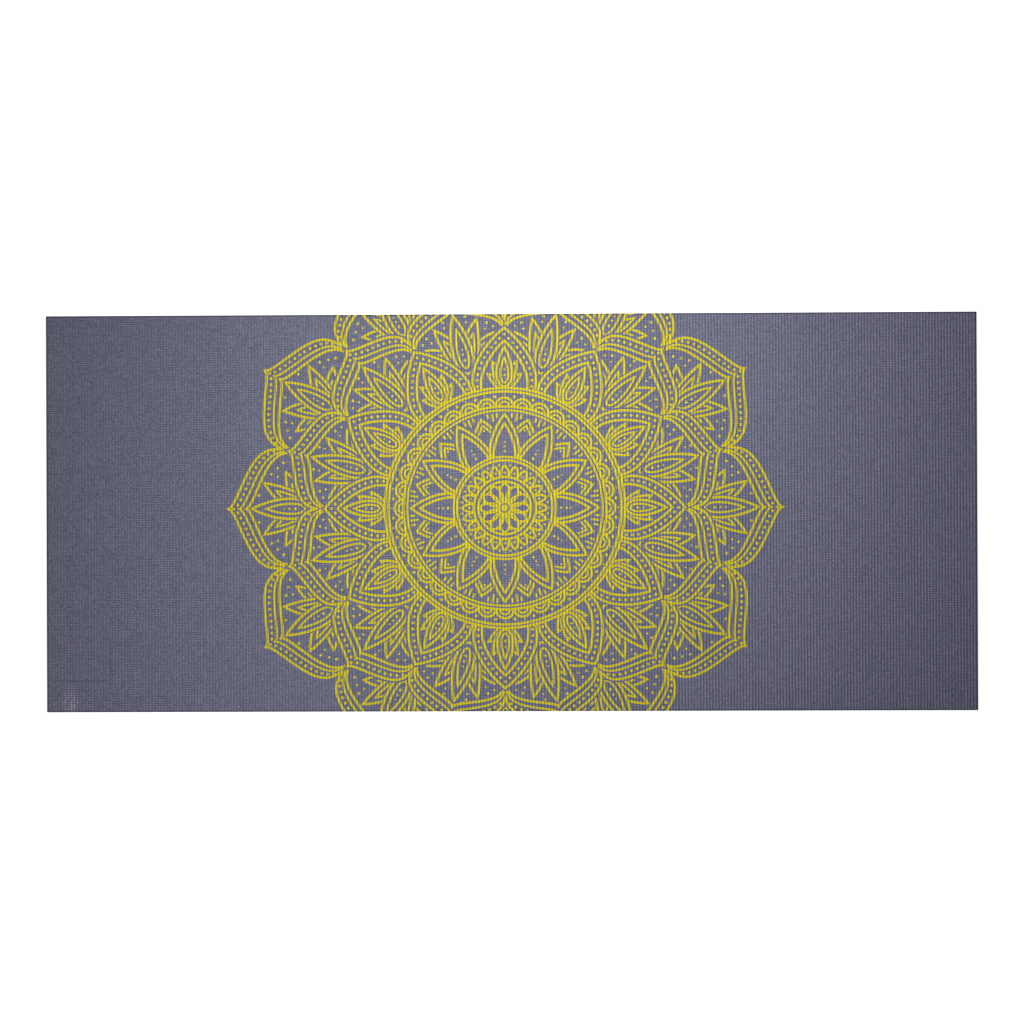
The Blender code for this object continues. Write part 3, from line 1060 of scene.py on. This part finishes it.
sample_band = flat_band([(stroke(circle(0.05)), [])])
print("the sample ring has", len(sample_band.verts), "vertices to lift")
sample_band.free()

# %% [markdown]
# ## From a flat band to a film
# Each vertex is lifted on to the ribs, and the shape gets a film's thickness. The real film is a few
# hundredths of a millimetre. It is drawn a tenth thick and stands a twentieth clear, so that it never
# flickers with the foam. Moving a copy straight up keeps thin lines whole where thickening along the
# normals would tear them.

# %% Film
ink_lift = 0.00005
ink_thickness = 0.0001


def film_piece(name, layers, nodes):
    """One band of the print, laid on the ribs."""
    shape = flat_band(layers)
    for vertex in shape.verts:
        vertex.co.z = foam_top(vertex.co.x, vertex.co.y) + ink_lift
    upper = bmesh.ops.extrude_face_region(shape, geom=shape.faces[:])["geom"]
    upper = [part for part in upper if isinstance(part, bmesh.types.BMVert)]
    bmesh.ops.translate(shape, verts=upper, vec=(0.0, 0.0, ink_thickness))
    bmesh.ops.recalc_face_normals(shape, faces=shape.faces[:])
    describe(name, shape)
    piece = new_object(name, shape, ink)
    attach(piece, "root")
    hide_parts(*nodes)


print(f"the film stands {ink_lift * 1000:.2f} mm clear and is {ink_thickness * 1000:.1f} mm thick")

# %% [markdown]
# ## The middle rosette
# In the middle are a dot, a small ring and twelve rounded petals inside a larger ring, with a dot in each
# gap between their tips. The lines are as close here as a screen can print, so the rosette has few of them.

# %% Rosette
strokes = [circle(print_radius * 0.0125, 16)] + ring(0.022) + ring(0.095)
strokes += lines_of([petal(*sized(0.022, 0.088, 0.0175), round_tip)], aligned, True, fine_width)
strokes += dots([(0.0795, 0.0, 0.0023)], between)
film_piece("ink_rosette", [(strokes, [])], ["print_rosette"])

# %% [markdown]
# ## The small scallops
# A ring of twenty-four scallops frames the rosette, like a lace edging. A dot sits inside each scallop,
# another in each notch between them and a small one over each crest.

# %% Inner scallops
small_count = 24
foot, top = sized(0.112, 0.152)
strokes = ring(0.112)
strokes += lines_of([scallop(foot, top, foot * math.pi / small_count)], spread(small_count), False)
strokes += dots([(0.1275, 0.0, 0.0026), (0.1622, 0.0, 0.0015)], spread(small_count))
strokes += dots([(0.1550, 0.0, 0.0026)], spread(small_count, 0.5))
film_piece("ink_inner_scallops", [(strokes, [])], ["print_inner_scallops"])

# %% [markdown]
# ## The lotus
# Twelve double petals grow from behind two rings, and the tips of twelve more show between them. Here the
# masks are at work: the rings hide the petals' feet, and the front petals hide the sides of the others. Dots
# run up the middle of each front petal, and three short rays stand between the tips of every two petals.

# %% Lotus
lotus_size = sized(0.130, 0.338, 0.053)
front_petal = petal(*lotus_size)
back_petal = petal(*sized(0.130, 0.328, 0.062))
back_inner = petal(*sized(0.130, 0.306, 0.051))
ring_disc = circle(print_radius * 0.1845)
front = lines_of([front_petal, inner_petal(*lotus_size)], aligned)
front += dots([(0.205, 0.0, 0.0027), (0.2225, 0.0, 0.0023), (0.238, 0.0, 0.0019)], aligned)
beads = dots([(0.288, 0.0, 0.0022)], between)
for angle, start in ((-0.05, 0.326), (0.0, 0.314), (0.05, 0.326)):
    ray = turned([Vector((reach, 0.0)) for reach in sized(start, 0.343)], angle)
    beads += lines_of([ray], spread(2 * petal_count, 0.5), False, fine_width)
rings = ring(0.172) + ring(0.1845, fine_width)
back = lines_of([back_petal], between) + lines_of([back_inner], between, True, fine_width)
back_masks = behind_all([front_petal], aligned, clear) + [ring_disc]
film_piece("ink_lotus",
           [(front, [ring_disc]), (back, back_masks), (rings, []), (beads, [])],
           ["print_lotus"])

# %% [markdown]
# ## The broad scallops
# Thirty-six scallops, each with a smaller one inside, make the lace round the lotus. The finer pen keeps the
# inner ones from running together. Dots large and small fill the gap to the next ring.

# %% Outer scallops
broad_count = 36
foot, echo_top, top = sized(0.366, 0.384, 0.398)
half_width = foot * math.pi / broad_count
strokes = ring(0.366) + ring(0.3525, fine_width)
strokes += lines_of([scallop(foot, top, half_width)], spread(broad_count), False)
strokes += lines_of([scallop(foot, echo_top, half_width * 0.56)], spread(broad_count), False, fine_width)
strokes += dots([(0.4025, 0.0, 0.0032)], spread(broad_count, 0.5))
strokes += dots([(0.4090, 0.0, 0.0018)], spread(broad_count))
film_piece("ink_outer_scallops", [(strokes, [])], ["print_outer_scallops"])

# %% [markdown]
# ## The bloom
# Twelve broad double petals stand on two rings. A row of dots runs between each petal's two outlines, and a
# little lotus flower of five petals grows inside it.

# %% Bloom
bloom_size = sized(0.360, 0.650, 0.114)
bloom_petal = petal(*bloom_size)
bloom_disc = [circle(print_radius * 0.433)]
first_dot = print_radius * 0.4485
dot_line = inner_petal(*bloom_size, 0.5)
half_line = [p for p in dot_line[:len(dot_line) // 2 + 1] if p.length > first_dot]
front = lines_of([bloom_petal, inner_petal(*bloom_size)], aligned)
front += around(dots_along(half_line, 0.0115, 0.0), aligned)
rings = ring(0.420) + ring(0.433)
drops = dots([(0.480, 0.0, 0.0026), (0.500, 0.0, 0.0021)], aligned)
small_lotus = [(0.078, 0.0150, 0.0, 0.0, 0.74), (0.054, 0.0105, 0.42, 0.6, 0), (0.040, 0.0090, 0.88, 1.2, 0)]
film_piece("ink_bloom",
           [(front, bloom_disc), (rings, []), (drops, [])]
           + flower(print_radius * 0.438, small_lotus, aligned, bloom_disc),
           ["print_bloom"])

# %% [markdown]
# ## The crown
# Behind the bloom rises a chain of twelve pointed arches, with two echoes of itself inside it and a row of
# dots between the lines. An echo's tip is moved in further than its valleys, as tips are where lines close
# up. Each arch holds a tall lotus flower. The bloom's petals mask all of it. The mat's edges cut the upper
# and lower arches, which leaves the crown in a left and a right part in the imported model. Here both parts
# are one piece of film.

# %% Crown
echo_gaps = (0.0, 0.0185, 0.0262)
tip_gaps = (0.0, 0.0213, 0.0350)
dot_gap = 0.0093
dot_tip_gap = dot_gap * 1.15
dot_pitch = 0.0120
first_dot_reach = 0.026


def arch_band(valley, tip, angles, masks):
    """A chain of arches, its echoes and the row of dots between them."""
    strokes = []
    for number, (gap, tip_gap) in enumerate(zip(echo_gaps, tip_gaps)):
        width = fine_width if number == 1 else line_width
        strokes += stroke(chain(arch(valley - gap, tip - tip_gap), angles), True, width)
    line = arch(valley - dot_gap, tip - dot_tip_gap)
    strokes += around(dots_along(line[:len(line) // 2 + 1], dot_pitch, first_dot_reach), angles)
    return (strokes, masks)


crown_valley, crown_tip = sized(0.680, 0.806)
bloom_masks = behind_all([bloom_petal], aligned, clear) + [circle(print_radius * 0.433 + clear)]
crown_lotus = [(0.118, 0.0190, 0.0, 0.0, 0.76), (0.108, 0.0170, 0.31, 0.9, 0.74),
               (0.093, 0.0155, 0.64, 1.8, 0.74), (0.073, 0.0140, 1.00, 3.2, 0.74)]
drops = dots([(0.552, 0.0, 0.0030), (0.573, 0.0, 0.0024), (0.591, 0.0, 0.0019)], between)
drops += dot_pairs([(0.7045, 0.0225, 0.0028), (0.6835, 0.0222, 0.0021), (0.6620, 0.0610, 0.0028),
                    (0.6430, 0.0545, 0.0023), (0.6440, 0.0715, 0.0023)], between)
film_piece("ink_crown",
           [arch_band(crown_valley, crown_tip, between, bloom_masks), (drops, bloom_masks)]
           + flower(print_radius * 0.502, crown_lotus, between, bloom_masks),
           ["print_crown_left", "print_crown_right"])

# %% [markdown]
# ## The rim
# A second chain of arches looks out behind the crown, each with its own flower, and its tips are the print's
# outermost points. It is drawn in the same way and masked by the crown.

# %% Rim
rim_valley, rim_tip = print_radius * 0.832, print_radius
crown_masks = behind(chain(arch(crown_valley, crown_tip), between), clear)
rim_lotus = [(0.116, 0.0200, 0.0, 0.0, 0.76), (0.104, 0.0170, 0.40, 1.0, 0.74),
             (0.086, 0.0150, 0.78, 2.2, 0.70), (0.070, 0.0120, 1.14, 4.0, 0)]
drops = dots([(0.757, 0.0, 0.0030), (0.778, 0.0, 0.0024), (0.796, 0.0, 0.0019)], aligned)
drops += dot_pairs([(0.888, 0.0265, 0.0028), (0.842, 0.0680, 0.0028), (0.819, 0.0630, 0.0023),
                    (0.820, 0.0800, 0.0026), (0.799, 0.0905, 0.0030)], aligned)
film_piece("ink_rim",
           [arch_band(rim_valley, rim_tip, aligned, crown_masks), (drops, crown_masks)]
           + flower(print_radius * 0.700, rim_lotus, aligned, crown_masks),
           ["print_rim_left", "print_rim_right"])

# %% [markdown]
# ## Size
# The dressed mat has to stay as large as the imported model, so both boxes are written down side by side.

# %% Compare sizes
scene_box = [list(corner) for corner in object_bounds()]
for name, box in (("packed", cad_box), ("dressed", scene_box)):
    print(name, [round((b - a) * 1000, 2) for a, b in zip(*box)], "mm")
